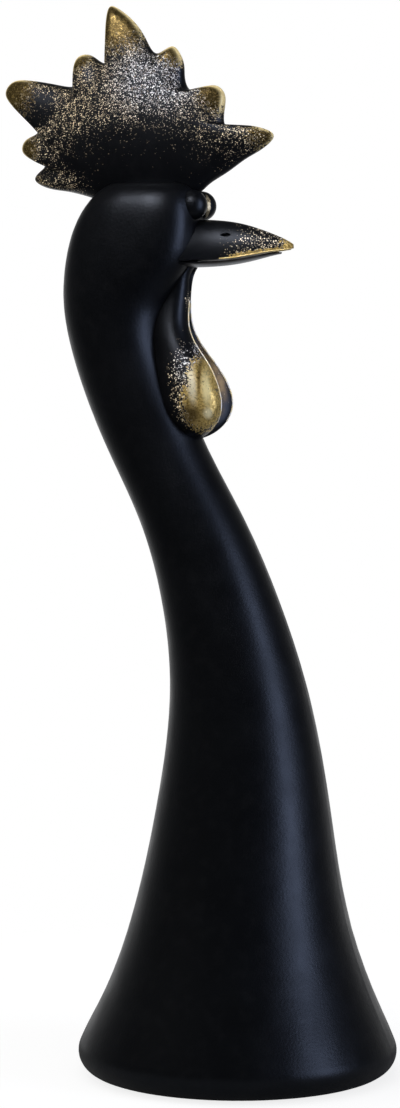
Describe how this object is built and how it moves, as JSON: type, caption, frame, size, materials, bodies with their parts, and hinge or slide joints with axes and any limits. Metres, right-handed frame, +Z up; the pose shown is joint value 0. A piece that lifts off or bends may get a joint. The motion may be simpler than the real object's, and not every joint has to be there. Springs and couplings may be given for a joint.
{
  "type": "rooster bust ornament",
  "caption": "Slender rooster bust ornament in cast resin: S-curved neck on a flared round foot, with a spiked comb, beak, eyes and wattles pinned and bonded to the head.",
  "frame": {"origin": "middle of the round foot, on the underside of the felt that the bust stands on", "axes": "+X the way the rooster faces, +Y its left side, +Z up"},
  "size_m": [0.1358, 0.1076, 0.3601],
  "materials": {
    "black_paint": "satin",
    "gilded_paint": "satin",
    "eye_gloss": "gloss",
    "pin_steel": "satin",
    "plate_resin": "matte",
    "felt": "matte"
  },
  "bodies": {
    "root": {"body_shell": "black_paint", "comb": "gilded_paint", "comb_pins": "pin_steel", "upper_beak": "gilded_paint", "lower_beak": "gilded_paint", "left_eye": "eye_gloss", "right_eye": "eye_gloss", "left_wattle": "gilded_paint", "right_wattle": "gilded_paint", "wattle_pins": "pin_steel", "base_plate": "plate_resin", "base_felt": "felt"}
  },
  "joints": []
}
